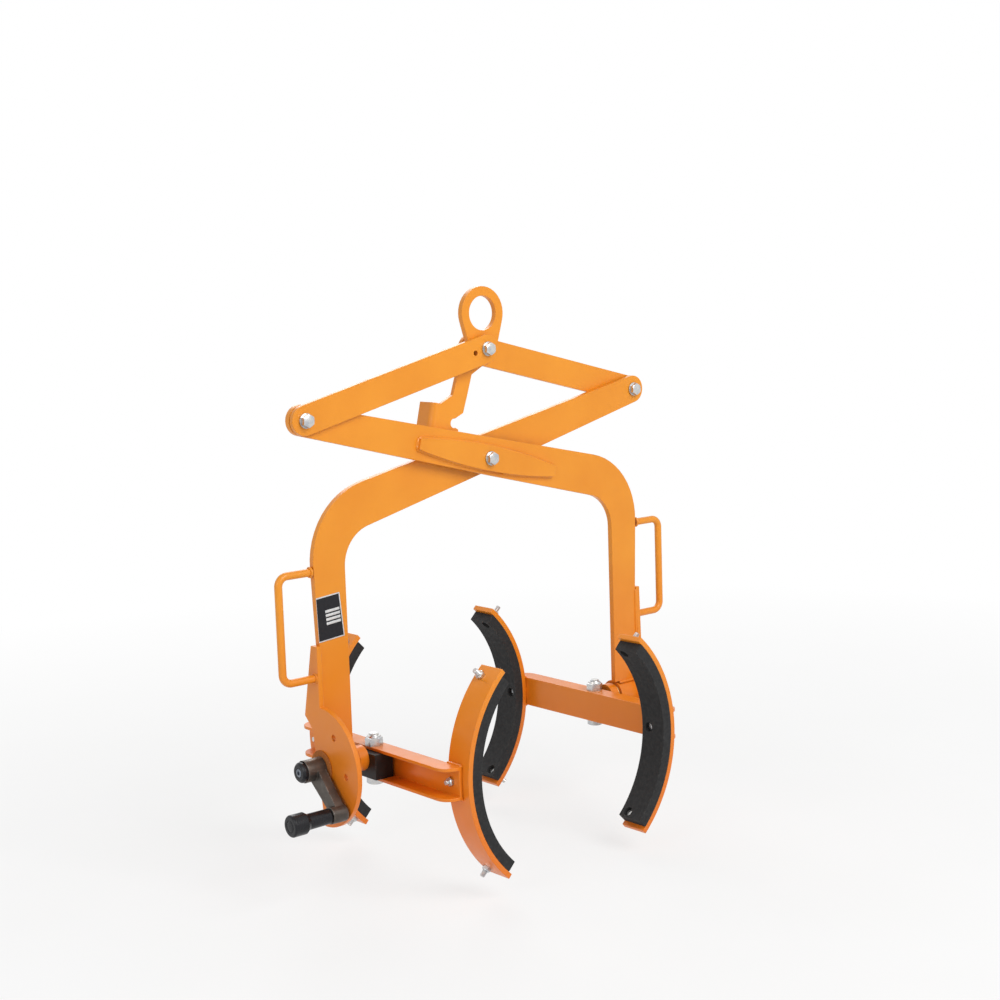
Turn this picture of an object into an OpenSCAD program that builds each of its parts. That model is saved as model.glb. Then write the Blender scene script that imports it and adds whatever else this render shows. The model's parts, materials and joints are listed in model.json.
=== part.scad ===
/* [Tong linkage] */
// Pin-to-pin length of the links and of the upper part of the arms
link_len = 358; // [320:1:400]
// Rise of the links over the horizontal with a drum held, in degrees
link_rise = 14; // [12:0.5:18]
// Width of a link
link_w = 45; // [38:1:56]
// Thickness of a link
link_t = 8; // [6:0.5:12]
// Diameter of the pivot bolts
pivot_d = 12; // [10:1:16]
// Radial running clearance on pivots and shafts
run_clear = 0.05; // [0.02:0.01:0.09]
// Thickness of the thin washers between moving plates
slip_washer_t = 1; // [0.5:0.1:2]
// Diameter of the small pin hole in the left link
link_hole_d = 8; // [5:0.5:10]
// Distance of the small pin hole from the top bolt
link_hole_pos = 24.5; // [22:0.5:40]

/* [Arms] */
// Thickness of an arm
arm_t = 10; // [8:0.5:14]
// Gap between the two arms, where the latch hangs
arm_gap = 9; // [7:0.5:12]
// Radius of the arm's rounded end at the link pin
arm_end_r = 23; // [20:0.5:28]
// Height of the arm's upper edge over the centre bolt
arm_above = 34.5; // [28:0.5:40]
// Depth of the arm's lower edge under the centre bolt
arm_below = 27.5; // [24:0.5:36]
// Gap between the swivel block and the leg's inner edge
leg_gap = 12; // [8:0.5:16]
// Width of the leg at the shoulder
leg_w = 61; // [56:1:80]
// Width of the leg at the bearing plate
leg_w_low = 53; // [42:1:55]
// Drop of the sharp outer shoulder corner under the centre bolt
shoulder_drop = 36.7; // [25:0.5:50]
// Drop of the sharp inner shoulder corner under the centre bolt
crotch_drop = 95; // [85:1:110]
// Outer bend radius of the shoulder
bend_out_r = 120; // [90:5:140]
// Inner bend radius of the shoulder
bend_in_r = 60; // [40:2:80]
// Half length of the doubler plate at the centre bolt
doubler_half = 143; // [110:1:160]
// Half width of the doubler plate in the middle
doubler_mid = 20; // [18:0.5:24]
// Half width of the doubler plate at its ends
doubler_end = 8.5; // [6:0.5:12]
// Thickness of the doubler plate
doubler_t = 8; // [6:0.5:10]

/* [Lifting eye] */
// Height of the eye's hole over the top bolt
eye_rise = 56; // [52:1:70]
// Diameter of the eye's hole
eye_hole_d = 54; // [40:1:58]
// Outer radius of the eye
eye_r = 42; // [40:1:50]
// Radius of the eye's foot round the top bolt
eye_foot_r = 26; // [22:1:30]

/* [Handles] */
// Diameter of the handle rod
handle_d = 12; // [10:0.5:16]
// Reach of the handle's grip bar from the leg's shoulder edge
handle_reach = 56; // [45:1:74]
// Depth of the handle's upper leg under the centre bolt
handle_top = 142; // [130:1:160]
// Height of the handle between its legs
handle_h = 161; // [120:1:165]
// Bend radius of the rod's centre line
handle_bend = 15; // [12:1:22]

/* [Tilt bearing] */
// Depth of the tilt axis under the centre bolt
tilt_drop = 438; // [430:1:450]
// Radius of the tilt disc on the crank side
disc_r = 91.5; // [80:0.5:100]
// Radius of the bearing plate on the idle side
idle_plate_r = 45; // [40:1:60]
// Thickness of the bearing plates
disc_t = 8; // [6:0.5:10]
// Diameter of the hole circle in the tilt disc
hole_circle_d = 122; // [110:1:140]
// Diameter of the holes in the tilt disc
disc_hole_d = 10; // [7:0.5:12]
// Top of the bearing plate's gusset under the centre bolt
gusset_top = 254; // [245:1:270]
// Outer diameter of the bearing tube
tube_d = 48; // [44:1:54]
// Set-back of the bearing tube's inner end from the leg's inner edge
tube_set = 7; // [5:0.5:20]
// Diameter of the tilt shaft
shaft_d = 25; // [20:1:28]
// Wall of the bearing bushes
bush_wall = 2.5; // [1.5:0.25:3]
// Thickness of the bush flanges and of the friction washer
bush_flange_t = 2.5; // [2:0.25:4]

/* [Crank] */
// Crank radius
crank_r = 80; // [60:1:90]
// Angle of the crank arm under the horizontal, in degrees
crank_angle = 44; // [0:1:90]
// Diameter of the crank hub
crank_hub_d = 34; // [32:1:42]
// Distance of the crank hub's end from the tilt disc
crank_hub_len = 35; // [31:1:41]
// Thickness of the crank arm
crank_arm_t = 14; // [10:1:18]
// Diameter of the crank's lower boss
crank_boss_d = 26; // [24:1:30]
// Length of the grip
grip_len = 68; // [60:1:110]
// Diameter of the grip
grip_d = 23; // [20:1:28]
// Diameter of the grip's end collar
grip_collar_d = 33; // [30:1:38]
// Diameter of the grip's spindle
spindle_d = 10; // [8:1:12]

/* [Clamps] */
// Depth of the clamps' middle under the tilt axis
clamp_drop = 10; // [6:0.5:10]
// Diameter of the swivel bolts
swivel_d = 16; // [12:1:16]
// Inner radius of the rubber pads, the drum's own radius
drum_r = 190; // [185:1:192]
// Thickness of the rubber pads
pad_t = 17.5; // [14:0.5:18]
// Thickness of the pad carriers
carrier_t = 8.5; // [6:0.5:9]
// Width of the pads and carriers
pad_w = 48; // [40:1:56]
// Half angle of a carrier, in degrees
carrier_half = 48; // [40:1:52]
// Angle by which a pad stops short of its carrier, in degrees
pad_short = 2; // [1:0.5:4]
// Distance of the pads' middle from the channel's end
pad_end = 10; // [5:1:30]
// Height of the clamp channel
channel_h = 50; // [48:1:56]
// Flange width of the clamp channel
channel_b = 30; // [28:1:31]
// Wall of the clamp channel
channel_t = 5; // [4:0.5:6]
// Half length of the clamp channel
channel_half = 192; // [180:1:200]
// Corner radius at the ends of the flanges
flange_corner = 24; // [12:1:24]
// Half length of the swivel block
block_half = 35; // [28:1:36]
// Clearance of the swivel block to the channel's web
swivel_clear = 4; // [3.5:0.25:5]
// Diameter of the pad bolts
pad_bolt_d = 8; // [6:1:8]

/* [Latch] */
// Thickness of the latch
latch_t = 8; // [5:0.5:8]
// Depth of the latch's bent finger tab
tab_depth = 38; // [25:1:45]
// Bend radius of the finger tab, outside
tab_bend_r = 12; // [9:0.5:14]

/* [Hidden] */

paint = "#E8902E";
zinc = "#C9CCD0";
black = "#1F1F1F";
cast = "#6E655C";
bronze = "#A98545";
arc_steps = 12;
$fn = 64;

// Pin places, from the centre bolt
pin_x = link_len * cos(link_rise);
pin_z = link_len * sin(link_rise);
top_z = 2 * pin_z;
pivot_r = pivot_d / 2;
pivot_hole_r = pivot_r + run_clear;

// Plate levels from the middle plane between the arms, front to back
arm_in_y = arm_gap / 2;
arm_out_y = arm_in_y + arm_t;
link_in_y = arm_out_y + slip_washer_t;
link_out_y = link_in_y + link_t;
doubler_out_y = arm_out_y + doubler_t;
arm_mid_y = arm_in_y + arm_t / 2;

// Bolts, nuts and washers of the pivots
bolt_af = 1.5 * pivot_d;
head_h = 0.625 * pivot_d;
nut_h = pivot_d;
washer_t = 2.5;
washer_r = 0.94 * pivot_d;
slip_washer_r = link_w / 2 - 3;
bolt_tail = 3;

// The part's origin is the middle of the lifting eye's hole
eye_z = top_z + eye_rise;
eye_y = -arm_mid_y;

// Small play between flat faces of moving pieces
face_gap = 0.3;
spacer_r = 15;

// Clamp, from the drum outwards
carrier_in_r = drum_r + pad_t;
carrier_out_r = carrier_in_r + carrier_t;
web_in = carrier_out_r + 0.05;
web_out = web_in + channel_t;
flange_edge = web_in + channel_b;
clamp_z = -tilt_drop - clamp_drop;
swivel_x = web_out + 13;
swivel_r = swivel_d / 2;
swivel_af = 1.5 * swivel_d;
swivel_head_h = 0.625 * swivel_d;
swivel_nut_h = swivel_d;
block_in = web_out + swivel_clear;
block_out = flange_edge + 12;
block_h = channel_h - 2 * channel_t - 2 * face_gap;
pad_bolt_r = pad_bolt_d / 2;
pad_bolt_hole_r = pad_bolt_r + 0.1;
pad_pos = channel_half - pad_end;
pad_bolt_y = pad_pos - 10;
pad_bolt_half = carrier_half - 5;
pad_bolt_head_r = 1.9 * pad_bolt_r;
pad_bolt_head_h = 4;
pad_recess = 6;
pad_nut_h = 6.5;
pad_bolt_out = 10;

// Leg, outwards from the swivel block
leg_in = block_out + leg_gap;
leg_out = leg_in + leg_w;
leg_out_low = leg_in + leg_w_low;
handle_x = leg_out + handle_reach;

// Tilt bearing, outwards from the leg
shaft_r = shaft_d / 2;
bush_in_r = shaft_r + run_clear;
bush_out_r = bush_in_r + bush_wall;
bush_flange_r = bush_out_r + 4;
disc_face = leg_out_low + disc_t;
tube_in = leg_in + tube_set;
bush_face_in = tube_in - bush_flange_t;
bush_face_out = disc_face + bush_flange_t;
friction_r = 26;
collar_r = 20;
shaft_nut_h = 13;
tube_r = tube_d / 2;

// Crank, from the tilt disc outwards
crank_in = bush_face_out + face_gap;
crank_hub_end = disc_face + crank_hub_len;
crank_arm_in = disc_face + 6;
crank_boss_r = crank_boss_d / 2;
crank_boss_out = crank_arm_in + crank_arm_t + 10;
cap_t = 8;
cap_r = crank_hub_d / 2 - 1.5;
cap_edge = 3;
screw_r = 4;
screw_len = 16;
screw_head_r = 6.5;
screw_head_h = 4;
screw_seat = crank_hub_end + cap_t - screw_head_h;
key_w = 8;
key_h = 7;
grip_in = crank_boss_out + 1;
grip_out = grip_in + grip_len;
grip_collar_len = 26;
spindle_r = spindle_d / 2;
spindle_head_r = spindle_r + 3;
spindle_end = grip_out - 6;
crank_y = -crank_r * cos(crank_angle);
crank_z = -crank_r * sin(crank_angle);

// Points on an arc about a centre
function arc(c, r, a0, a1, n = arc_steps) =
    [for (i = [0 : n]) c + r * [cos(a0 + (a1 - a0) * i / n), sin(a0 + (a1 - a0) * i / n)]];

function unit(v) = v / norm(v);

// Rounded corner at q on the way from p to s
function corner(p, q, s, r, n = arc_steps) =
    let (u = unit(p - q), v = unit(s - q), half = acos(u * v) / 2)
    let (m = q + unit(u + v) * r / sin(half), t0 = q + u * r / tan(half) - m, t1 = q + v * r / tan(half) - m)
    let (a0 = atan2(t0[1], t0[0]), turn = atan2(t0[0] * t1[1] - t0[1] * t1[0], t0 * t1))
    arc(m, r, a0, a0 + turn, n);

// Outline of two circles joined by their outer tangents
function teardrop(c1, r1, c2, r2, n = 2 * arc_steps) =
    let (d = c2 - c1, axis = atan2(d[1], d[0]), lean = acos((r1 - r2) / norm(d)))
    concat(arc(c1, r1, axis + lean, axis + 360 - lean, n), arc(c2, r2, axis - lean, axis + lean, n));

// Angle at a circle's centre of the tangent point seen from p
function tangent_angle(p, c, r, side) =
    let (d = p - c) atan2(d[1], d[0]) + side * acos(r / norm(d));

// Moves a piece from the centre bolt's frame to the part's frame
module in_frame() {
    translate([0, -eye_y, -eye_z]) children();
}

// Half turn about the vertical: the rear arm and the left clamp
module other_side() {
    rotate([0, 0, 180]) children();
}

// Plate in the XZ plane from y0 to y0 + t
module plate_xz(y0, t) {
    translate([0, y0 + t, 0]) rotate([90, 0, 0]) linear_extrude(t) children();
}

// Plate in the YZ plane from x0 to x0 + t
module plate_yz(x0, t) {
    translate([x0, 0, 0]) rotate([90, 0, 90]) linear_extrude(t) children();
}

// Round bar along Y, or along X
module bar_y(y0, y1, r) {
    translate([0, y0, 0]) rotate([-90, 0, 0]) cylinder(r = r, h = y1 - y0);
}

module bar_x(x0, x1, r) {
    translate([x0, 0, 0]) rotate([0, 90, 0]) cylinder(r = r, h = x1 - x0);
}

module ring_y(y0, y1, r_out, r_in) {
    difference() {
        bar_y(y0, y1, r_out);
        bar_y(y0 - 1, y1 + 1, r_in);
    }
}

module ring_x(x0, x1, r_out, r_in) {
    difference() {
        bar_x(x0, x1, r_out);
        bar_x(x0 - 1, x1 + 1, r_in);
    }
}

module hex_y(y0, y1, across) {
    translate([0, y0, 0]) rotate([-90, 0, 0]) cylinder(r = across / 2 / cos(30), h = y1 - y0, $fn = 6);
}

// Pivot bolt with its head in front: seat is the face under the head washer
module pivot_bolt(seat, back) {
    hex_y(seat - washer_t - head_h, seat - washer_t, bolt_af);
    bar_y(seat - washer_t, back + washer_t + nut_h + bolt_tail, pivot_r);
}

module pivot_nut(back) {
    y0 = back + washer_t;
    hex_h = 0.8 * nut_h;
    difference() {
        union() {
            hex_y(y0, y0 + hex_h, bolt_af);
            bar_y(y0 + hex_h, y0 + nut_h, 0.45 * bolt_af);
        }
        bar_y(y0 - 1, y0 + nut_h + 1, pivot_r);
    }
}

module end_washers(seat, back) {
    ring_y(seat - washer_t, seat, washer_r, pivot_r);
    ring_y(back, back + washer_t, washer_r, pivot_r);
}

// Lifting eye and the top bolt that carries the links
module lifting_eye() {
    color(paint) in_frame() difference() {
        plate_xz(-arm_out_y, arm_t) polygon(teardrop([0, eye_z], eye_r, [0, top_z], eye_foot_r));
        translate([0, 0, eye_z]) bar_y(-arm_out_y - 1, 1, eye_hole_d / 2);
        translate([0, 0, top_z]) bar_y(-arm_out_y - 1, 1, pivot_r);
    }
}

module top_bolt() {
    color(zinc) in_frame() translate([0, 0, top_z]) pivot_bolt(-link_out_y, link_out_y);
}

module top_nut() {
    color(zinc) in_frame() translate([0, 0, top_z]) pivot_nut(link_out_y);
}

module top_washers() {
    color(zinc) in_frame() translate([0, 0, top_z]) {
        end_washers(-link_out_y, link_out_y);
        ring_y(-link_in_y, -arm_out_y, slip_washer_r, pivot_r);
        ring_y(arm_out_y, link_in_y, slip_washer_r, pivot_r);
    }
}

module top_spacer() {
    color(zinc) in_frame() translate([0, 0, top_z]) ring_y(arm_in_y, arm_out_y, spacer_r, pivot_r);
}

// Links
module link(y0, side) {
    difference() {
        plate_xz(y0, link_t) polygon(teardrop([0, top_z], link_w / 2, [side * pin_x, pin_z], link_w / 2));
        translate([0, 0, top_z]) bar_y(y0 - 1, y0 + link_t + 1, pivot_hole_r);
        translate([side * pin_x, 0, pin_z]) bar_y(y0 - 1, y0 + link_t + 1, pivot_r);
    }
}

module left_link() {
    color(paint) in_frame() difference() {
        link(-link_out_y, -1);
        translate([-link_hole_pos * cos(link_rise), 0, top_z - link_hole_pos * sin(link_rise)])
            bar_y(-link_out_y - 1, -link_in_y + 1, link_hole_d / 2);
    }
}

module right_link() {
    color(paint) in_frame() link(link_in_y, 1);
}

module left_pin_bolt() {
    color(zinc) in_frame() translate([-pin_x, 0, pin_z]) pivot_bolt(-link_out_y, -arm_in_y);
}

module left_pin_nut() {
    color(zinc) in_frame() translate([-pin_x, 0, pin_z]) pivot_nut(-arm_in_y);
}

module left_pin_washers() {
    color(zinc) in_frame() translate([-pin_x, 0, pin_z]) {
        end_washers(-link_out_y, -arm_in_y);
        ring_y(-link_in_y, -arm_out_y, slip_washer_r, pivot_r);
    }
}

module right_pin_bolt() {
    color(zinc) in_frame() translate([pin_x, 0, pin_z]) pivot_bolt(arm_in_y, link_out_y);
}

module right_pin_nut() {
    color(zinc) in_frame() translate([pin_x, 0, pin_z]) pivot_nut(link_out_y);
}

module right_pin_washers() {
    color(zinc) in_frame() translate([pin_x, 0, pin_z]) {
        end_washers(arm_in_y, link_out_y);
        ring_y(arm_out_y, link_in_y, slip_washer_r, pivot_r);
    }
}

// Arms: pin end on one side, shoulder and leg on the other
function arm_outline() =
    let (pin = [-pin_x, pin_z], over = [0, arm_above], under = [0, -arm_below])
    let (a_over = tangent_angle(over, pin, arm_end_r, 1), a_under = tangent_angle(under, pin, arm_end_r, -1))
    let (shoulder = [leg_out, -shoulder_drop], crotch = [leg_in, -crotch_drop], step_z = -gusset_top + 1)
    let (foot_z = -tilt_drop + tube_r, foot_out = [leg_out_low, foot_z], foot_in = [leg_in, foot_z])
    concat(
        [over],
        arc(pin, arm_end_r, a_over, a_under + 360, 2 * arc_steps),
        [under],
        corner(under, crotch, foot_in, bend_in_r),
        [foot_in, foot_out, [leg_out_low, step_z]],
        corner([leg_out_low, step_z], shoulder, over, bend_out_r)
    );

module arm_plate(centre_hole_r) {
    difference() {
        plate_xz(-arm_out_y, arm_t) polygon(arm_outline());
        translate([-pin_x, 0, pin_z]) bar_y(-arm_out_y - 1, -arm_in_y + 1, pivot_hole_r);
        bar_y(-arm_out_y - 1, -arm_in_y + 1, centre_hole_r);
    }
}

// Lens-shaped doubler on the arm's outer face
module doubler_plate(hole_r) {
    half_w = function (u) doubler_end + (doubler_mid - doubler_end) * (1 - u * u);
    steps = [for (i = [-arc_steps : arc_steps]) i / arc_steps];
    difference() {
        rotate([0, link_rise, 0]) plate_xz(-doubler_out_y, doubler_t) polygon(concat(
            [for (u = steps) [u * doubler_half, half_w(u)]],
            [for (u = steps) [-u * doubler_half, -half_w(u)]]
        ));
        bar_y(-doubler_out_y - 1, -arm_out_y + 1, hole_r);
    }
}

// Bent rod handle on the leg's outer edge
module rod_handle() {
    r = handle_d / 2;
    z0 = -handle_top;
    z1 = -handle_top - handle_h;
    bend_x = handle_x - handle_bend;
    edge_x = leg_out;
    translate([0, -arm_mid_y, 0]) {
        translate([0, 0, z0]) bar_x(edge_x, bend_x, r);
        translate([0, 0, z1]) bar_x(disc_face, bend_x, r);
        translate([handle_x, 0, z1 + handle_bend]) cylinder(r = r, h = handle_h - 2 * handle_bend);
        translate([bend_x, 0, z0 - handle_bend]) rotate([90, 0, 0])
            rotate_extrude(angle = 90) translate([handle_bend, 0]) circle(r = r);
        translate([bend_x, 0, z1 + handle_bend]) rotate([90, 0, 0]) rotate([0, 0, -90])
            rotate_extrude(angle = 90) translate([handle_bend, 0]) circle(r = r);
    }
}

// Bearing plate on the leg's edge: half a disc about the tilt axis, a boss round the bearing, a gusset up the leg
module bearing_plate(plate_r, boss_r) {
    gusset_w = 12;
    gusset_z = tilt_drop - gusset_top;
    heel = plate_r * [-0.45, 0.8];
    nick = plate_r * [-0.24, 0.6];
    translate([0, 0, -tilt_drop]) difference() {
        union() {
            intersection() {
                bar_x(leg_out_low, disc_face, plate_r);
                translate([leg_out_low - 1, 0, -plate_r - 1])
                    cube([disc_t + 2, plate_r + 1, 2 * plate_r + 2]);
            }
            plate_yz(leg_out_low, disc_t) polygon([
                [0, gusset_z], [-gusset_w - arm_in_y, gusset_z], heel, nick, [0, -plate_r]
            ]);
            bar_x(leg_out_low, disc_face, boss_r);
        }
        bar_x(leg_out_low - 1, disc_face + 1, bush_out_r);
    }
}

module bearing_tube() {
    translate([0, 0, -tilt_drop]) ring_x(tube_in, leg_out_low, tube_r, bush_out_r);
}

module bush_pair() {
    mid = (tube_in + disc_face) / 2;
    translate([0, 0, -tilt_drop]) {
        ring_x(tube_in, mid - 4, bush_out_r, bush_in_r);
        ring_x(bush_face_in, tube_in, bush_flange_r, bush_in_r);
        ring_x(mid + 4, disc_face, bush_out_r, bush_in_r);
    }
}

module front_arm() {
    color(paint) in_frame() arm_plate(pivot_r);
}

module front_doubler() {
    color(paint) in_frame() doubler_plate(pivot_r);
}

module right_handle() {
    color(paint) in_frame() rod_handle();
}

module right_bearing_plate() {
    color(paint) in_frame() bearing_plate(idle_plate_r, idle_plate_r);
}

module right_bearing_tube() {
    color(paint) in_frame() bearing_tube();
}

module right_bushes() {
    color(bronze) in_frame() bush_pair();
}

module centre_bolt() {
    color(zinc) in_frame() pivot_bolt(-doubler_out_y, doubler_out_y);
}

module centre_nut() {
    color(zinc) in_frame() pivot_nut(doubler_out_y);
}

module centre_washers() {
    color(zinc) in_frame() end_washers(-doubler_out_y, doubler_out_y);
}

module centre_spacer() {
    color(zinc) in_frame() ring_y(-arm_in_y, arm_in_y, spacer_r, pivot_r);
}

module rear_arm() {
    color(paint) in_frame() other_side() arm_plate(pivot_hole_r);
}

module rear_doubler() {
    color(paint) in_frame() other_side() doubler_plate(pivot_hole_r);
}

module left_handle() {
    color(paint) in_frame() other_side() rod_handle();
}

module tilt_disc() {
    hole_step = 60;
    hole_turn = -3;
    color(paint) in_frame() other_side() difference() {
        bearing_plate(disc_r, friction_r);
        for (k = [-1 : 1])
            translate([0, 0, -tilt_drop]) rotate([hole_step * k + hole_turn, 0, 0])
                translate([0, hole_circle_d / 2, 0]) bar_x(leg_out_low - 1, disc_face + 1, disc_hole_d / 2);
    }
}

module left_bearing_tube() {
    color(paint) in_frame() other_side() bearing_tube();
}

module left_bushes() {
    color(bronze) in_frame() other_side() bush_pair();
}

module friction_washer() {
    color(cast) in_frame() other_side() translate([0, 0, -tilt_drop])
        ring_x(disc_face, bush_face_out, friction_r, bush_in_r);
}

// Hold-open latch between the arms, hung on the top bolt: its tab rests on the rear arm's upper edge
// A bent sheet, cut to the latch's outline
module hold_open_latch() {
    head_corner = [-24.5, 12];
    notch = [-56, -114];
    notch_r = 7.5;
    lip = [-48.5, -124.5];
    foot = [-52, -148];
    bend_top = [-82, -81];
    bend_dir = unit([-13, -54]);
    seat_gap = 0.6;
    lean = atan2(-bend_dir[0], -bend_dir[1]);
    in_r = tab_bend_r - latch_t;
    behind = tab_bend_r - latch_t / 2 - arm_in_y;
    seat_x = sqrt(max(0, in_r * in_r - behind * behind));
    edge_slope = (arm_above + shoulder_drop) / leg_out;
    seat_z = arm_above + seat_gap + edge_slope * (bend_top[0] - seat_x * cos(lean));
    tab_len = (top_z + bend_top[1] + seat_x * sin(lean) - seat_z) / (edge_slope * bend_dir[0] - bend_dir[1]);
    bend_low = bend_top + tab_len * bend_dir;
    right = [cos(lean), -sin(lean)];
    relief = 1;
    tab_out = tab_bend_r + 3;
    outline = concat(
        corner([-24, -20], head_corner, [0, head_corner[1]], 3),
        arc([0, -6], 22, 55, -50),
        [[-17.5, -40], [-27, -69], [-37.6, -99.4]],
        arc(notch, notch_r, 75, 285),
        [lip],
        corner(lip, foot, bend_low, 8),
        [bend_low + relief * right, bend_low - tab_out * right],
        [bend_top - tab_out * right, bend_top + relief * right],
        [[-56.5, -69.4], [-48.3, -44.6]]
    );
    y0 = -latch_t / 2;
    sheet_w = 120;
    sheet_len = 2 * top_z;
    section = concat(
        [[sheet_w, y0]],
        arc([0, y0 + tab_bend_r], tab_bend_r, 270, 180),
        [[-tab_bend_r, y0 + tab_depth], [-in_r, y0 + tab_depth]],
        arc([0, y0 + tab_bend_r], in_r, 180, 270),
        [[sheet_w, y0 + latch_t]]
    );
    color(paint) in_frame() translate([0, 0, top_z]) difference() {
        intersection() {
            plate_xz(y0 - 1, tab_depth + 2) polygon(outline);
            translate([bend_low[0], 0, bend_low[1]]) rotate([0, lean, 0]) translate([0, 0, -sheet_len / 4])
                linear_extrude(sheet_len) polygon(section);
        }
        bar_y(y0 - 1, y0 + latch_t + 1, pivot_hole_r);
    }
}

// Tilt shaft and swivel block
module tilt_shaft(shaft_end) {
    translate([0, 0, -tilt_drop]) {
        bar_x(block_out, shaft_end, shaft_r);
        bar_x(block_out, bush_face_in - face_gap, collar_r);
    }
}

module swivel_block() {
    difference() {
        translate([block_in, -block_half, clamp_z - block_h / 2])
            cube([block_out - block_in, 2 * block_half, block_h]);
        translate([swivel_x, 0, clamp_z - channel_h]) cylinder(r = swivel_r + run_clear, h = 2 * channel_h);
    }
}

module left_tilt_shaft() {
    color(paint) in_frame() other_side() difference() {
        tilt_shaft(crank_hub_end);
        translate([crank_in, -key_w / 2, -tilt_drop + shaft_r - key_h / 2])
            cube([crank_hub_end, key_w, key_h]);
        translate([0, 0, -tilt_drop]) bar_x(crank_hub_end - screw_len - 2, crank_hub_end + 1, screw_r);
    }
}

module left_swivel_block() {
    color(black) in_frame() other_side() swivel_block();
}

// Crank: places below are on the right side and turned over to the left one
module at_crank_pin() {
    translate([0, -crank_y, -tilt_drop + crank_z]) children();
}

module crank_arm() {
    tip = [-crank_y, crank_z];
    color(cast) in_frame() other_side() difference() {
        union() {
            translate([0, 0, -tilt_drop]) bar_x(crank_in, crank_hub_end, crank_hub_d / 2);
            translate([0, 0, -tilt_drop]) plate_yz(crank_arm_in, crank_arm_t)
                polygon(teardrop([0, 0], crank_hub_d / 2 - 3, tip, crank_boss_r - 2));
            at_crank_pin() bar_x(crank_arm_in - 2, crank_boss_out, crank_boss_r);
        }
        translate([0, 0, -tilt_drop]) bar_x(crank_in - 1, crank_hub_end + 1, shaft_r);
        translate([crank_in - 1, -key_w / 2, -tilt_drop]) cube([crank_hub_end, key_w, shaft_r + key_h / 2]);
        at_crank_pin() bar_x(crank_arm_in - 3, crank_boss_out + 1, spindle_r);
    }
}

module crank_key() {
    color(zinc) in_frame() other_side()
        translate([crank_in, -key_w / 2, -tilt_drop + shaft_r - key_h / 2])
            cube([crank_hub_end - crank_in, key_w, key_h]);
}

module crank_end_cap() {
    color(black) in_frame() other_side() translate([0, 0, -tilt_drop]) difference() {
        rotate([0, 90, 0]) rotate_extrude() polygon([
            [0, crank_hub_end], [cap_r, crank_hub_end], [cap_r, crank_hub_end + cap_t - cap_edge],
            [cap_r - cap_edge, crank_hub_end + cap_t], [0, crank_hub_end + cap_t]
        ]);
        bar_x(crank_hub_end - 1, crank_hub_end + cap_t + 1, screw_r);
        bar_x(screw_seat, crank_hub_end + cap_t + 1, screw_head_r + 0.5);
    }
}

module crank_screw() {
    color(zinc) in_frame() other_side() translate([0, 0, -tilt_drop]) {
        bar_x(crank_hub_end - screw_len, screw_seat, screw_r);
        bar_x(screw_seat, screw_seat + screw_head_h, screw_head_r);
    }
}

module grip_spindle() {
    color(zinc) in_frame() other_side() at_crank_pin() {
        bar_x(crank_arm_in - 2, spindle_end + face_gap, spindle_r);
        bar_x(spindle_end + face_gap, grip_out - 3, spindle_head_r);
    }
}

module crank_grip() {
    waist = grip_out - grip_collar_len;
    r0 = grip_d / 2;
    r1 = grip_collar_d / 2;
    color(black) in_frame() other_side() at_crank_pin() difference() {
        rotate([0, 90, 0]) rotate_extrude() polygon([
            [0, grip_in], [r0 - 1, grip_in], [r0, grip_in + 1], [r0 + 0.5, waist - 4], [r1 - 2, waist],
            [r1, waist + 3], [r1, grip_out - 2], [r1 - 2, grip_out], [0, grip_out]
        ]);
        bar_x(grip_in - 1, grip_out + 1, spindle_r + run_clear);
        bar_x(spindle_end, grip_out + 1, spindle_head_r + 1);
    }
}

// Clamp: built on the right side, the left one is turned over
module flange_outline() {
    q0 = [flange_edge, -channel_half];
    q1 = [flange_edge, channel_half];
    polygon(concat(
        [[web_in, channel_half], [web_in, -channel_half]],
        corner([web_in, -channel_half], q0, q1, flange_corner),
        corner(q0, q1, [web_in, channel_half], flange_corner)
    ));
}

module clamp_channel() {
    half_h = channel_h / 2;
    difference() {
        translate([0, 0, clamp_z]) {
            translate([web_in, -channel_half, -half_h]) cube([channel_t, 2 * channel_half, channel_h]);
            translate([0, 0, half_h - channel_t]) linear_extrude(channel_t) flange_outline();
            translate([0, 0, -half_h]) linear_extrude(channel_t) flange_outline();
        }
        translate([swivel_x, 0, clamp_z - channel_h]) cylinder(r = swivel_r, h = 2 * channel_h);
        for (side = [-1, 1])
            translate([0, side * pad_bolt_y, clamp_z]) bar_x(web_in - 1, web_out + 1, pad_bolt_hole_r);
    }
}

// Swivel bolt from below, lock nut on the upper flange
module swivel_bolt() {
    translate([swivel_x, 0, clamp_z - channel_h / 2]) {
        translate([0, 0, -swivel_head_h]) cylinder(r = swivel_af / 2 / cos(30), h = swivel_head_h, $fn = 6);
        cylinder(r = swivel_r, h = channel_h + swivel_nut_h + bolt_tail);
    }
}

module swivel_nut() {
    hex_h = 0.8 * swivel_nut_h;
    translate([swivel_x, 0, clamp_z + channel_h / 2]) difference() {
        union() {
            cylinder(r = swivel_af / 2 / cos(30), h = hex_h, $fn = 6);
            translate([0, 0, hex_h])
                cylinder(r1 = 0.48 * swivel_af, r2 = 0.4 * swivel_af, h = swivel_nut_h - hex_h);
        }
        translate([0, 0, -1]) cylinder(r = swivel_r, h = 2 * swivel_nut_h);
    }
}

// Curved bar about the drum's axis
module curved_bar(r0, r1, half) {
    rotate([90, 0, 0]) rotate([0, 0, -half]) rotate_extrude(angle = 2 * half)
        translate([r0, -pad_w / 2]) square([r1 - r0, pad_w]);
}

// Places of the pad bolts along the radius, seen from one pad's middle
module at_pad_bolts(side) {
    for (a = [-pad_bolt_half, 0, pad_bolt_half])
        translate([0, side * pad_bolt_y, clamp_z]) rotate([0, a, 0]) children();
}

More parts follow.
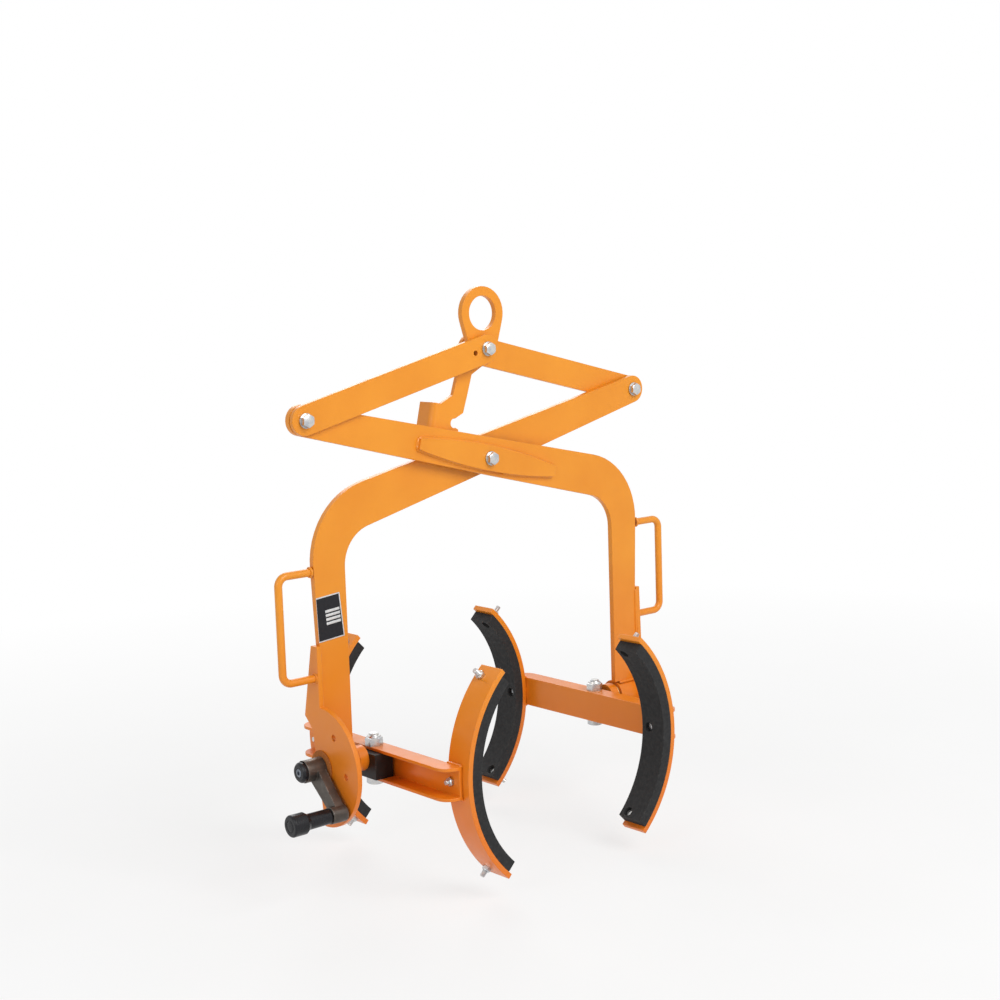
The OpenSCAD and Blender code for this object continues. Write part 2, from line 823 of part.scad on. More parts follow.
module carrier(side) {
    difference() {
        translate([0, side * pad_pos, clamp_z]) curved_bar(carrier_in_r, carrier_out_r, carrier_half);
        at_pad_bolts(side) bar_x(carrier_in_r - 2, carrier_out_r + 2, pad_bolt_hole_r);
    }
}

module pad(side) {
    difference() {
        translate([0, side * pad_pos, clamp_z]) curved_bar(drum_r, carrier_in_r, carrier_half - pad_short);
        at_pad_bolts(side) {
            bar_x(drum_r - 9, drum_r + pad_recess + pad_bolt_head_h, pad_bolt_head_r);
            bar_x(drum_r, carrier_in_r + 2, pad_bolt_hole_r);
        }
    }
}

module pad_bolts() {
    for (side = [-1, 1]) at_pad_bolts(side) {
        bar_x(drum_r + pad_recess, drum_r + pad_recess + pad_bolt_head_h, pad_bolt_head_r - 0.1);
        bar_x(drum_r + pad_recess + pad_bolt_head_h, web_out + pad_nut_h + pad_bolt_out, pad_bolt_r);
    }
}

// The outer nuts sit on the carrier, the middle ones on the channel's web
module pad_nuts() {
    for (side = [-1, 1], a = [-pad_bolt_half, 0, pad_bolt_half]) {
        seat = a == 0 ? web_out : carrier_out_r + 0.1;
        translate([0, side * pad_bolt_y, clamp_z]) rotate([0, a, 0]) translate([seat, 0, 0])
            rotate([0, 90, 0]) difference() {
                cylinder(r = 0.81 * pad_bolt_d / cos(30), h = pad_nut_h, $fn = 6);
                translate([0, 0, -1]) cylinder(r = pad_bolt_r, h = pad_nut_h + 2);
            }
    }
}

module left_clamp_channel() {
    color(paint) in_frame() other_side() clamp_channel();
}

module left_swivel_bolt() {
    color(zinc) in_frame() other_side() swivel_bolt();
}

module left_swivel_nut() {
    color(zinc) in_frame() other_side() swivel_nut();
}

module left_front_carrier() {
    color(paint) in_frame() other_side() carrier(1);
}

module left_rear_carrier() {
    color(paint) in_frame() other_side() carrier(-1);
}

module left_front_pad() {
    color(black) in_frame() other_side() pad(1);
}

module left_rear_pad() {
    color(black) in_frame() other_side() pad(-1);
}

module left_pad_bolts() {
    color(zinc) in_frame() other_side() pad_bolts();
}

module left_pad_nuts() {
    color(zinc) in_frame() other_side() pad_nuts();
}

module right_tilt_shaft() {
    color(paint) in_frame() tilt_shaft(bush_face_out + shaft_nut_h);
}

module right_swivel_block() {
    color(black) in_frame() swivel_block();
}

module right_shaft_nut() {
    nut_r = shaft_d * 0.75;
    color(zinc) in_frame() translate([disc_face + face_gap, 0, -tilt_drop]) rotate([0, 90, 0]) difference() {
        union() {
            cylinder(r = collar_r, h = bush_flange_t);
            translate([0, 0, bush_flange_t]) cylinder(r = nut_r / cos(30), h = shaft_nut_h - face_gap, $fn = 6);
        }
        translate([0, 0, -1]) cylinder(r = shaft_r, h = 2 * shaft_nut_h);
    }
}

module right_clamp_channel() {
    color(paint) in_frame() clamp_channel();
}

module right_swivel_bolt() {
    color(zinc) in_frame() swivel_bolt();
}

module right_swivel_nut() {
    color(zinc) in_frame() swivel_nut();
}

module right_front_carrier() {
    color(paint) in_frame() carrier(-1);
}

module right_rear_carrier() {
    color(paint) in_frame() carrier(1);
}

module right_front_pad() {
    color(black) in_frame() pad(-1);
}

module right_rear_pad() {
    color(black) in_frame() pad(1);
}

module right_pad_bolts() {
    color(zinc) in_frame() pad_bolts();
}

module right_pad_nuts() {
    color(zinc) in_frame() pad_nuts();
}

lifting_eye();
top_bolt();
top_nut();
top_washers();
top_spacer();
left_link();
left_pin_bolt();
left_pin_nut();
left_pin_washers();
right_link();
right_pin_bolt();
right_pin_nut();
right_pin_washers();
front_arm();
front_doubler();
right_handle();
right_bearing_plate();
right_bearing_tube();
right_bushes();
centre_bolt();
centre_nut();
centre_washers();
centre_spacer();
rear_arm();
rear_doubler();
left_handle();
tilt_disc();
left_bearing_tube();
left_bushes();
friction_washer();
hold_open_latch();
left_tilt_shaft();
left_swivel_block();
crank_arm();
crank_key();
crank_end_cap();
crank_screw();
grip_spindle();
crank_grip();
left_clamp_channel();
left_swivel_bolt();
left_swivel_nut();
left_front_carrier();
left_rear_carrier();
left_front_pad();
left_rear_pad();
left_pad_bolts();
left_pad_nuts();
right_tilt_shaft();
right_swivel_block();
right_shaft_nut();
right_clamp_channel();
right_swivel_bolt();
right_swivel_nut();
right_front_carrier();
right_rear_carrier();
right_front_pad();
right_rear_pad();
right_pad_bolts();
right_pad_nuts();
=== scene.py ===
import json
import math

import bpy
from mathutils import Matrix, Vector


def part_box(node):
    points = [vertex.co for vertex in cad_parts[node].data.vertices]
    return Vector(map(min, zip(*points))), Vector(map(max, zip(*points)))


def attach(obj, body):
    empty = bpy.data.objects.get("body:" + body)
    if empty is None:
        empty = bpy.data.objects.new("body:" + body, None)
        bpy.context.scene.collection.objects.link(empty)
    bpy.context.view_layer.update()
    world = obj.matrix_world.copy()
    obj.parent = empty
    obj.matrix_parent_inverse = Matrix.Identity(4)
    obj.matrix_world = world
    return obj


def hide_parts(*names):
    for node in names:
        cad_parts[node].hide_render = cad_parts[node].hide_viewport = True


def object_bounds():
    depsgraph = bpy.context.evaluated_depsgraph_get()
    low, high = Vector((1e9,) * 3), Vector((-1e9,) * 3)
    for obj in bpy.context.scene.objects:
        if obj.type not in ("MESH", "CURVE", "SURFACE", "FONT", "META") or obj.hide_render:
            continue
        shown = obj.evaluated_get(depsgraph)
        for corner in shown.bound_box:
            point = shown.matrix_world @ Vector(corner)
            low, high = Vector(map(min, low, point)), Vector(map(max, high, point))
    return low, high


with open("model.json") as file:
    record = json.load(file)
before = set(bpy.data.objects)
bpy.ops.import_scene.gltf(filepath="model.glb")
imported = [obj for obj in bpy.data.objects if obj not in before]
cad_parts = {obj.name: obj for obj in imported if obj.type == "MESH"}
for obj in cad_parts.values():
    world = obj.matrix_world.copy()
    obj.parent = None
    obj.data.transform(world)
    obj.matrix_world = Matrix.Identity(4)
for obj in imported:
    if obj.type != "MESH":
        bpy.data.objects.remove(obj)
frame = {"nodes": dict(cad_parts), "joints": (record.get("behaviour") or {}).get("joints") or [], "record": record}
cad_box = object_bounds()
nodes = frame["nodes"]
record = frame["record"]
pivots = {joint["name"]: Vector(joint["pos_m"]) for joint in frame["joints"]}
slots = {part["node"]: part["material_slot"] for part in record["subparts"]}
body_of = {node: body for body, members in record["behaviour"]["bodies"].items() for node in members}

# Lengths are in metres and angles in degrees, unless a heading says otherwise

# Edges
PLATE_EDGE = 0.0008
SMALL_EDGE = 0.0003
EDGE_ANGLE = 40
FLAT_ANGLE = 0.3
SMOOTH_ANGLE = 35
TOUCH = 0.00001

# Shading that finds edges for wear and corners for painted shade
SHADE_SAMPLES = 6
EDGE_SHADE = (0.85, 0.45)
CORNER_SHADE = (0.75, 0.15)

# Turns of thread and chamfer of the hexagon bolts and lock nuts
BOLT_TURNS = 8
HEX_CHAMFER = 30

# Shares of a bolt's or nut's own sizes
HEAD_SHARE = 0.625
PITCH_SHARE = 0.14
CORNERS_SHARE = math.sqrt(3)
FLATS_SHARE = math.cos(math.radians(30))
HEX_TOP = 0.95
BLANK_SHARE = 1.05
THREAD_ROOT = 0.90
THREAD_END = 0.82
NUT_HEX_SHARE = 0.8
NUT_COLLAR_SHARE = 0.18
COLLAR_PROFILE = ((0.89, 0), (0.86, 0.5), (0.82, 0.9), (0.76, 1))

# Pad bolts and their nuts, with distances from the middle of the clamps
PAD_BOLT_R = 0.004
PAD_BOLT_HEAD_R = 0.0075
PAD_BOLT_HEAD_H = 0.004
PAD_BOLT_DOME = 0.0012
PAD_BOLT_PITCH = 0.00125
PAD_BOLT_TURNS = 11
PAD_BOLT_IN = 0.196
PAD_BOLT_OUT = 0.2320
PAD_BOLT_Y = 0.172
PAD_BOLT_ANGLES = (-43, 0, 43)
PAD_NUT_H = 0.0065
PAD_NUT_HEX_H = 0.72 * PAD_NUT_H
PAD_NUT_COLLAR_H = 0.25 * PAD_NUT_H
PAD_NUT_CORNER_R = 0.0074
PAD_NUT_SEAT = 0.2161
WEB_SEAT = 0.22105

# Arms, with distances from the centre bolt
ARM_IN = 0.0045
ARM_OUT = 0.0145
LEG_EDGE = 0.323
HANDLE_EDGE = 0.331
HANDLE_DROPS = (0.142, 0.303)
HANDLE_R = 0.006
DOUBLER_HALF = 0.143
DOUBLER_MID = 0.020
DOUBLER_END = 0.0085
LINK_RISE = 14
TUBE_R = 0.024
TUBE_IN = 0.277
GUSSET_TOP = 0.254

# Clamp channels, with distances from the middle of the clamps
WEB_IN = 0.21605
CHANNEL_HALF_H = 0.025
CARRIER_Y = (0.158, 0.192)

# Weld beads, with the beat in radians from ripple to ripple
DOUBLER_BEAD = 0.0032
SEAM_BEAD = 0.0030
HANDLE_BEAD = 0.0022
RING_OUT = 0.0008
BEAD_SIDES = 8
BEAD_BEAT = 2.4

# Shares of a weld bead's radius
BEAD_PITCH = 1.15
BEAD_START = 0.55
BEAD_STOP = 0.5
BEAD_DIP = 0.84
BEAD_WANDER = 0.07
RING_DIP = 0.2

# Floor and light, with each lamp's name, place from the part's middle, size and power in watts
FLOOR_SIZE = 60
FLOOR_GAP = 0.03
FLOOR_FADE = (0.6, 2.4)
FLOOR_WHITE = (0.68, 1.0)
SKY_LEVEL = 0.42
LAMPS = (
    ("key_lamp", (0.2, -2.6, 1.9), 1.8, 58),
    ("side_lamp", (-2.8, -0.6, 1.0), 1.6, 17),
    ("back_lamp", (1.2, 2.4, 1.8), 1.8, 26),
)

# Camera, with its turns in radians and its lens and film in millimetres
CAMERA_PLACE = (-1.69770, -2.04325, 0.04617)
CAMERA_YAW = -0.701184
CAMERA_PITCH = 0.128735
CAMERA_ROLL = -0.032802
CAMERA_LENS = 60.376
CAMERA_FILM = 36

# Places taken from the joints
top_pin = pivots["left_link_swing"]
tilt_axis = pivots["left_clamp_tilt"]
mid_y = top_pin.y
pin_z = pivots["front_arm_fold"].z
centre_z = 2 * pin_z - top_pin.z
centre = Vector((0, mid_y, centre_z))
clamp_middle = Vector((0, mid_y, pivots["left_clamp_swivel"].z))


# What the finishes are mixed from

def add_node(tree, kind, inputs=None, **settings):
    new = tree.nodes.new(kind)
    for key, value in settings.items():
        setattr(new, key, value)
    for key, value in (inputs or {}).items():
        new.inputs[key].default_value = value
    return new


def new_finish(name, **sockets):
    finish = bpy.data.materials.new(name)
    finish.use_nodes = True
    tree = finish.node_tree
    shader = tree.nodes["Principled BSDF"]
    for key, value in sockets.items():
        shader.inputs[key.replace("_", " ")].default_value = value
    return finish, tree, shader


def grain(tree, scale, detail=4.0, stretch=(1, 1, 1)):
    coords = add_node(tree, "ShaderNodeTexCoord")
    stretched = add_node(tree, "ShaderNodeMapping", {"Scale": stretch})
    noise = add_node(tree, "ShaderNodeTexNoise", {"Scale": scale, "Detail": detail})
    tree.links.new(coords.outputs["Object"], stretched.inputs["Vector"])
    tree.links.new(stretched.outputs["Vector"], noise.inputs["Vector"])
    return noise.outputs["Fac"]


def spread(tree, source, low, high, to_low=0.0, to_high=1.0):
    new = add_node(tree, "ShaderNodeMapRange",
                   {"From Min": low, "From Max": high, "To Min": to_low, "To Max": to_high})
    tree.links.new(source, new.inputs["Value"])
    return new.outputs["Result"]


def times(tree, first, second):
    new = add_node(tree, "ShaderNodeMath", operation="MULTIPLY")
    tree.links.new(first, new.inputs[0])
    tree.links.new(second, new.inputs[1])
    return new.outputs["Value"]


def colour_mix(tree, factor, first, second):
    new = add_node(tree, "ShaderNodeMix", data_type="RGBA")
    tree.links.new(factor, new.inputs[0])
    for socket, value in ((new.inputs[6], first), (new.inputs[7], second)):
        if isinstance(value, tuple):
            socket.default_value = (*value, 1)
        else:
            tree.links.new(value, socket)
    return new.outputs[2]


def mottle(tree, scale, first, second, low=0.3, high=0.7, detail=4.0):
    return colour_mix(tree, spread(tree, grain(tree, scale, detail), low, high), first, second)


def height_share(tree, high, low):
    coords = add_node(tree, "ShaderNodeTexCoord")
    axes = add_node(tree, "ShaderNodeSeparateXYZ")
    tree.links.new(coords.outputs["Object"], axes.inputs["Vector"])
    return spread(tree, axes.outputs["Z"], high, low)


def wear(tree, coat, bare, reach, patch_scale, patch_low, patch_high):
    """The coat, rubbed through to the bare colour in patches along its edges."""
    inside = add_node(tree, "ShaderNodeAmbientOcclusion", {"Distance": reach},
                      samples=SHADE_SAMPLES, inside=True, only_local=True)
    edges = spread(tree, inside.outputs["AO"], *EDGE_SHADE)
    patches = spread(tree, grain(tree, patch_scale, 6), patch_low, patch_high)
    return colour_mix(tree, times(tree, edges, patches), coat, bare)


# Painted shade: the colour turns darker in the corners, broken into patches
def shade_corners(tree, unshaded, shade_colour, reach, patch_scale, patch_low, patch_high):
    """The colour, darkened in patches in its corners: painted shade."""
    around = add_node(tree, "ShaderNodeAmbientOcclusion", {"Distance": reach}, samples=SHADE_SAMPLES)
    corners = spread(tree, around.outputs["AO"], *CORNER_SHADE)
    patches = spread(tree, grain(tree, patch_scale), patch_low, patch_high)
    return colour_mix(tree, times(tree, corners, patches), unshaded, shade_colour)


def lay_on(tree, shader, colour, sheen_scale=0, smooth=0.0, rough=0.0):
    """Link the colour and, where it has a scale, a roughness that wanders from smooth to rough."""
    tree.links.new(colour, shader.inputs["Base Color"])
    if sheen_scale:
        sheen = spread(tree, grain(tree, sheen_scale), 0.3, 0.7, smooth, rough)
        tree.links.new(sheen, shader.inputs["Roughness"])


def relief(tree, shader, source, strength, depth):
    bump = add_node(tree, "ShaderNodeBump", {"Strength": strength, "Distance": depth})
    tree.links.new(source, bump.inputs["Height"])
    tree.links.new(bump.outputs["Normal"], shader.inputs["Normal"])


# Finishes

def orange_paint():
    finish, tree, shader = new_finish("orange_paint", Specular_IOR_Level=0.38,
                                      Coat_Weight=0.15, Coat_Roughness=0.16)
    tone = mottle(tree, 9, (0.80, 0.270, 0.012), (0.86, 0.316, 0.018))
    # Painted shade: the orange turns deeper towards the bottom, as though less light reached the lower parts
    low_shaded = colour_mix(tree, height_share(tree, -0.42, -0.76), tone, (0.80, 0.190, 0.006))
    # Painted shade in the corners, darkening the orange in patches there
    corner_shaded = shade_corners(tree, low_shaded, (0.42, 0.11, 0.010), 0.03, 60, 0.35, 0.75)
    worn = wear(tree, corner_shaded, (0.50, 0.20, 0.055), 0.003, 110, 0.60, 0.70)
    lay_on(tree, shader, worn, 45, 0.30, 0.42)
    relief(tree, shader, grain(tree, 300, 2), 0.10, 0.0006)
    return finish


def zinc_steel():
    finish, tree, shader = new_finish("zinc_steel", Metallic=1.0)
    tint = mottle(tree, 140, (0.50, 0.52, 0.55), (0.66, 0.65, 0.62), 0.35, 0.65)
    # Painted shade in the corners, darkening the zinc in patches there
    tint_shaded = shade_corners(tree, tint, (0.28, 0.27, 0.25), 0.008, 400, 0.3, 0.7)
    lay_on(tree, shader, tint_shaded, 500, 0.24, 0.40)
    relief(tree, shader, grain(tree, 1500, 2), 0.10, 0.0002)
    return finish


def pad_rubber():
    finish, tree, shader = new_finish("pad_rubber", Specular_IOR_Level=0.35)
    scuffs = mottle(tree, 240, (0.017, 0.017, 0.018), (0.030, 0.029, 0.028), 0.40, 0.80, 8)
    worn = wear(tree, scuffs, (0.085, 0.080, 0.074), 0.003, 200, 0.50, 0.65)
    lay_on(tree, shader, worn, 160, 0.68, 0.88)
    relief(tree, shader, grain(tree, 900, 3), 0.35, 0.0005)
    return finish


def black_paint():
    finish, tree, shader = new_finish("black_paint", Specular_IOR_Level=0.3)
    tone = mottle(tree, 60, (0.010, 0.009, 0.009), (0.020, 0.018, 0.016))
    worn = wear(tree, tone, (0.22, 0.20, 0.18), 0.002, 180, 0.52, 0.62)
    lay_on(tree, shader, worn, 120, 0.38, 0.55)
    relief(tree, shader, grain(tree, 450, 3), 0.15, 0.0004)
    return finish


def black_plastic():
    finish, tree, shader = new_finish("black_plastic", Specular_IOR_Level=0.28)
    tone = mottle(tree, 90, (0.007, 0.007, 0.009), (0.015, 0.015, 0.018), 0.35, 0.7)
    worn = wear(tree, tone, (0.060, 0.060, 0.062), 0.002, 250, 0.55, 0.66)
    lay_on(tree, shader, worn, 220, 0.20, 0.30)
    relief(tree, shader, grain(tree, 700, 2), 0.05, 0.0003)
    return finish


def crank_casting():
    finish, tree, shader = new_finish("crank_casting", Metallic=0.75)
    tone = mottle(tree, 55, (0.070, 0.060, 0.052), (0.125, 0.108, 0.094))
    worn = wear(tree, tone, (0.28, 0.26, 0.24), 0.003, 120, 0.45, 0.62)
    lay_on(tree, shader, worn, 130, 0.36, 0.52)
    relief(tree, shader, grain(tree, 420, 4), 0.25, 0.0005)
    return finish


def bush_bronze():
    finish, tree, shader = new_finish("bush_bronze", Metallic=1.0)
    tone = mottle(tree, 120, (0.46, 0.29, 0.11), (0.62, 0.43, 0.20))
    lay_on(tree, shader, tone, 260, 0.28, 0.45)
    relief(tree, shader, grain(tree, 1400, 2, (1, 8, 8)), 0.12, 0.0002)
    return finish


def brake_lining():
    finish, tree, shader = new_finish("brake_lining", Roughness=0.85)
    fibres = mottle(tree, 650, (0.300, 0.085, 0.012), (0.480, 0.150, 0.020), 0.4, 0.6, 6)
    lay_on(tree, shader, fibres)
    relief(tree, shader, grain(tree, 800, 4), 0.3, 0.0004)
    return finish


def dull_steel():
    finish, tree, shader = new_finish("dull_steel", Metallic=1.0)
    tone = mottle(tree, 200, (0.13, 0.15, 0.18), (0.22, 0.24, 0.27), 0.35, 0.65)
    lay_on(tree, shader, tone, 500, 0.28, 0.42)
    relief(tree, shader, grain(tree, 1500, 2), 0.10, 0.0002)
    return finish


def plate_print():
    finish, tree, shader = new_finish("plate_print", Metallic=0.6)
    tone = mottle(tree, 300, (0.60, 0.61, 0.62), (0.74, 0.74, 0.73), 0.35, 0.65)
    lay_on(tree, shader, tone, 700, 0.32, 0.45)
    relief(tree, shader, grain(tree, 1500, 2), 0.08, 0.0002)
    return finish


def plate_face():
    finish, tree, shader = new_finish("plate_face", Specular_IOR_Level=0.3)
    tone = mottle(tree, 260, (0.006, 0.006, 0.009), (0.012, 0.012, 0.016), 0.35, 0.70)
    lay_on(tree, shader, tone, 500, 0.38, 0.50)
    relief(tree, shader, grain(tree, 1300, 2), 0.06, 0.0002)
    return finish


makers = (orange_paint, zinc_steel, pad_rubber, black_paint, black_plastic, crank_casting, bush_bronze,
          brake_lining, dull_steel, plate_print, plate_face)
finishes = {maker.__name__: maker() for maker in makers}


# Solids from the frame: rounded edges and their finish

def dress_node(name):
    solid = nodes[name]
    small = slots[name] == "zinc_steel"
    weld = solid.modifiers.new("weld", "WELD")
    weld.merge_threshold = TOUCH
    flat = solid.modifiers.new("flat", "DECIMATE")
    flat.decimate_type = "DISSOLVE"
    flat.angle_limit = math.radians(FLAT_ANGLE)
    rounding = solid.modifiers.new("rounding", "BEVEL")
    rounding.width = SMALL_EDGE if small else PLATE_EDGE
    rounding.segments = 2
    rounding.limit_method = "ANGLE"
    rounding.angle_limit = math.radians(EDGE_ANGLE)
    rounding.use_clamp_overlap = False
    shading = solid.modifiers.new("shading", "WEIGHTED_NORMAL")
    shading.keep_sharp = False
    solid.data.materials.clear()
    solid.data.materials.append(finishes[slots[name]])


for node_name in nodes:
    dress_node(node_name)


# Selecting and shaping

def clear_selection():
    if bpy.context.object and bpy.context.object.mode != "OBJECT":
        bpy.ops.object.mode_set(mode="OBJECT")
    bpy.ops.object.select_all(action="DESELECT")


def make_active(piece):
    clear_selection()
    piece.select_set(True)
    bpy.context.view_layer.objects.active = piece


def bar_stock(sides, radius, low, high):
    """A bar on the Z axis, from which a fastener is turned."""
    clear_selection()
    bpy.ops.mesh.primitive_cylinder_add(vertices=sides, radius=radius, depth=high - low,
                                        location=(0, 0, (low + high) / 2))
    bpy.ops.object.transform_apply(location=True)
    return bpy.context.object


def sheet_stock(wide, high, thick, x, y, z):
    """A flat sheet with its middle at x and y and its underside at z."""
    clear_selection()
    bpy.ops.mesh.primitive_cube_add(size=1, scale=(wide, high, thick), location=(x, y, z + thick / 2))
    bpy.ops.object.transform_apply(location=True, scale=True)
    return bpy.context.object


def pick_faces(piece, test):
    make_active(piece)
    bpy.ops.object.mode_set(mode="EDIT")
    bpy.ops.mesh.select_mode(type="FACE")
    bpy.ops.mesh.select_all(action="DESELECT")
    bpy.ops.object.mode_set(mode="OBJECT")
    for face in piece.data.polygons:
        face.select = test(face)
    bpy.ops.object.mode_set(mode="EDIT")


def on_level(face, height, up):
    return up * face.normal.z > 0.9 and abs(face.center.z - height) < TOUCH


def pick_top(piece, height):
    pick_faces(piece, lambda face: on_level(face, height, 1))


def pick_bottom(piece, height):
    pick_faces(piece, lambda face: on_level(face, height, -1))


def pull(offset, size=1.0, about=None):
    bpy.ops.mesh.extrude_region_move(TRANSFORM_OT_translate={"value": offset})
    if size != 1.0:
        bpy.ops.transform.resize(value=(size, size, size), center_override=about)


def round_edges(piece, width, segments=2):
    make_active(piece)
    rounding = piece.modifiers.new("rounding", "BEVEL")
    rounding.width = width
    rounding.segments = segments
    rounding.limit_method = "ANGLE"
    rounding.angle_limit = math.radians(SMOOTH_ANGLE)
    rounding.use_clamp_overlap = False
    bpy.ops.object.modifier_apply(modifier=rounding.name)


def cut(piece, tool, operation):
    make_active(piece)
    cutter = piece.modifiers.new("cutter", "BOOLEAN")
    cutter.operation = operation
    cutter.object = tool
    cutter.solver = "EXACT"
    bpy.ops.object.modifier_apply(modifier=cutter.name)
    bpy.data.objects.remove(tool)


def join(name, pieces):
    clear_selection()
    for piece in pieces:
        piece.select_set(True)
    bpy.context.view_layer.objects.active = pieces[0]
    if len(pieces) > 1:
        bpy.ops.object.join()
    whole = bpy.context.view_layer.objects.active
    whole.name = name
    return whole


def settle(piece, matrix):
    piece.matrix_world = matrix
    make_active(piece)
    bpy.ops.object.transform_apply(location=True, rotation=True, scale=True)
    return piece


def place(piece, point, outward):
    turn = Vector(outward).to_track_quat("Z", "Y").to_matrix().to_4x4()
    return settle(piece, Matrix.Translation(point) @ turn)


def copy_of(piece):
    make_active(piece)
    bpy.ops.object.duplicate(linked=False)
    return bpy.context.object


def hand_over(piece, finish, body, slot, *replaced):
    make_active(piece)
    bpy.ops.object.shade_smooth_by_angle(angle=math.radians(SMOOTH_ANGLE))
    if not piece.data.materials:
        piece.data.materials.append(finishes[finish])
    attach(piece, body)
    if replaced:
        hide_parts(*replaced)


def node_centre(name):
    low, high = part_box(name)
    return (low + high) / 2


# Fasteners, with the axis on Z and the outer end up

def hex_prism(corner_r, height):
    top_r = HEX_TOP * (corner_r * FLATS_SHARE)
    wide_r = BLANK_SHARE * corner_r
    drop = (wide_r - top_r) * math.tan(math.radians(HEX_CHAMFER))
    prism = bar_stock(6, corner_r, 0, height)
    turned = bar_stock(48, wide_r, -drop, height - drop)
    pick_top(turned, height - drop)
    pull((0, 0, drop), top_r / wide_r, (0, 0, height))
    cut(prism, turned, "INTERSECT")
    return prism


def thread_length(turns, pitch):
    return (turns + 0.5) * pitch


def threaded_rod(radius, plain, turns, pitch):
    rod = bar_stock(32, radius, -plain, 0)
    pick_bottom(rod, -plain)
    sizes = (THREAD_ROOT, 1 / THREAD_ROOT) * turns + (THREAD_END,)
    depth = plain
    for size in sizes:
        depth += pitch / 2
        pull((0, 0, -pitch / 2), size, (0, 0, -depth))
    bpy.ops.object.mode_set(mode="OBJECT")
    return rod


def hex_bolt(name, point, outward, diameter, length):
    pitch = PITCH_SHARE * diameter
    head_h = HEAD_SHARE * diameter
    plain = length - head_h - thread_length(BOLT_TURNS, pitch)
    head = hex_prism(CORNERS_SHARE * diameter / 2, head_h)
    rod = threaded_rod(diameter / 2, plain, BOLT_TURNS, pitch)
    return place(join(name, [head, rod]), point, outward)


def lock_nut(corner_r, hex_h, collar_h, bore_r):
    bore_share = bore_r / (corner_r * FLATS_SHARE)
    nut = hex_prism(corner_r, hex_h)
    pick_top(nut, hex_h)
    share, rise = HEX_TOP, 0
    for new_share, new_rise in (*COLLAR_PROFILE, (bore_share, 1), (bore_share, 0)):
        level = (0, 0, hex_h + new_rise * collar_h)
        pull((0, 0, (new_rise - rise) * collar_h), new_share / share, level)
        share, rise = new_share, new_rise
    bpy.ops.object.mode_set(mode="OBJECT")
    return nut


def pivot_set(label, outward):
    """Bolt and nut of one pivot; outward is the way the bolt's head points."""
    bolt_node, nut_node = f"{label}_bolt", f"{label}_nut"
    outward = Vector(outward)
    along = max(range(3), key=lambda k: abs(outward[k]))
    low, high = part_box(bolt_node)
    length = high[along] - low[along]
    across = max((high - low)[k] for k in range(3) if k != along)
    diameter = across / CORNERS_SHARE
    under_head = node_centre(bolt_node) + outward * (length / 2 - HEAD_SHARE * diameter)
    bolt = hex_bolt(f"{label}_bolt_dressed", under_head, outward, diameter, length)
    hand_over(bolt, "zinc_steel", body_of[bolt_node], "zinc_steel", bolt_node)
    low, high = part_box(nut_node)
    nut_h = high[along] - low[along]
    nut = lock_nut(across / 2, NUT_HEX_SHARE * nut_h, NUT_COLLAR_SHARE * nut_h, diameter / 2)
    nut.name = f"{label}_nut_dressed"
    place(nut, node_centre(nut_node) + outward * nut_h / 2, -outward)
    hand_over(nut, "zinc_steel", body_of[nut_node], "zinc_steel", nut_node)


for label in ("top", "left_pin", "right_pin", "centre"):
    pivot_set(label, (0, -1, 0))
for label in ("left_swivel", "right_swivel"):
    pivot_set(label, (0, 0, -1))


def pad_bolt():
    shank = PAD_BOLT_OUT - PAD_BOLT_IN - PAD_BOLT_HEAD_H
    plain = shank - thread_length(PAD_BOLT_TURNS, PAD_BOLT_PITCH)
    head = bar_stock(32, PAD_BOLT_HEAD_R, 0, PAD_BOLT_HEAD_H)
    round_edges(head, PAD_BOLT_DOME, 3)
    rod = threaded_rod(PAD_BOLT_R, plain, PAD_BOLT_TURNS, PAD_BOLT_PITCH)
    return join("pad_bolt", [head, rod])


def pad_fasteners(side, sign):
    bolt = pad_bolt()
    nut = lock_nut(PAD_NUT_CORNER_R, PAD_NUT_HEX_H, PAD_NUT_COLLAR_H, PAD_BOLT_R)
    bolts, nuts = [], []
    for y in (-PAD_BOLT_Y, PAD_BOLT_Y):
        for angle in PAD_BOLT_ANGLES:
            lean = math.radians(angle)
            ray = Vector((sign * math.cos(lean), 0, -math.sin(lean)))
            axis = clamp_middle + Vector((0, y, 0))
            nut_seat = WEB_SEAT if angle == 0 else PAD_NUT_SEAT
            bolts.append(place(copy_of(bolt), axis + ray * (PAD_BOLT_IN + PAD_BOLT_HEAD_H), -ray))
            nuts.append(place(copy_of(nut), axis + ray * nut_seat, ray))
    bpy.data.objects.remove(bolt)
    bpy.data.objects.remove(nut)
    for kind, pieces in (("bolts", bolts), ("nuts", nuts)):
        whole = join(f"{side}_pad_{kind}_dressed", pieces)
        hand_over(whole, "zinc_steel", f"{side}_clamp", "zinc_steel", f"{side}_pad_{kind}")


pad_fasteners("left", -1)
pad_fasteners("right", 1)


def crank_end_screw():
    head_r, head_h, head_edge = 0.0065, 0.004, 0.0006
    socket_r, shank_r, tip, pitch, turns = 0.0034, 0.004, 0.004, 0.00125, 3
    low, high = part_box("crank_screw")
    head = bar_stock(40, head_r, 0, head_h)
    round_edges(head, head_edge, 3)
    cut(head, bar_stock(6, socket_r, head_h / 2, 3 * head_h / 2), "DIFFERENCE")
    rod = threaded_rod(shank_r, high.x - low.x - head_h - tip, turns, pitch)
    screw = join("crank_screw_dressed", [head, rod])
    middle = node_centre("crank_screw")
    place(screw, Vector((low.x + head_h, middle.y, middle.z)), (-1, 0, 0))
    hand_over(screw, "dull_steel", "left_tilt", "zinc_steel", "crank_screw")


crank_end_screw()


